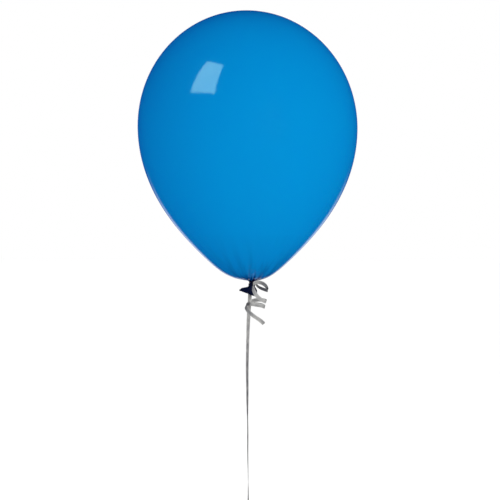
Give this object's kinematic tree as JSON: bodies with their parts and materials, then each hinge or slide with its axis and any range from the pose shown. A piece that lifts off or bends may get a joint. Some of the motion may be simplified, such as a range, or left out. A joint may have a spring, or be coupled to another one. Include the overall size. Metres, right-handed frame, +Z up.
{
  "type": "latex balloon",
  "caption": "Inflated round latex party balloon, knotted at its neck, with a curling ribbon tied on, a short curled end and a long straight end with a hand loop.",
  "frame": {"origin": "the tie at the neck: the centre of the crease where the ribbon grips the latex, just above the overhand knot", "axes": "+Z up through the balloon, from the neck to the crown; +X to the right and -Y towards the viewer, with the curl in front of the neck and the tether behind it"},
  "size_m": [0.28, 0.28, 0.6895],
  "materials": {
    "inflated_latex": "gloss",
    "slack_latex": "satin",
    "ribbon": "satin"
  },
  "bodies": {
    "balloon": {"envelope": "inflated_latex", "neck": "slack_latex", "latex_knot": "slack_latex", "ribbon_wrap": "ribbon", "ribbon_knot": "ribbon"},
    "tail": {"tail": "slack_latex", "rolled_lip": "slack_latex"},
    "curl": {"ribbon_curl": "ribbon"},
    "lead": {"tether_lead": "ribbon"},
    "tether": {"tether": "ribbon", "loop_knot": "ribbon", "loop_end": "ribbon"},
    "loop": {"hand_loop": "ribbon"}
  },
  "joints": [
    {"name": "tail_flex", "type": "hinge", "parent": "balloon", "child": "tail", "pos_m": [0, 0, -0.0025], "axis": [0, 1, 0], "range_deg": [-18, 18], "stiffness_Nm_per_rad": 0.0005},
    {"name": "curl_swing", "type": "hinge", "parent": "balloon", "child": "curl", "pos_m": [0.0054, -0.0035, -0.0013], "axis": [0, 1, 0], "range_deg": [-20, 15], "stiffness_Nm_per_rad": 0.0002},
    {"name": "tether_rock", "type": "hinge", "parent": "balloon", "child": "lead", "pos_m": [0.0019, 0.0062, -0.0016], "axis": [1, 0, 0], "range_deg": [0, 75]},
    {"name": "tether_swing", "type": "hinge", "parent": "lead", "child": "tether", "pos_m": [-0.0026, 0.0067, -0.0149], "axis": [0, 1, 0], "range_deg": [-75, 75]},
    {"name": "loop_swing", "type": "hinge", "parent": "tether", "child": "loop", "pos_m": [-0.0048, 0.0068, -0.2852], "axis": [0, 1, 0], "range_deg": [-85, 85]}
  ]
}
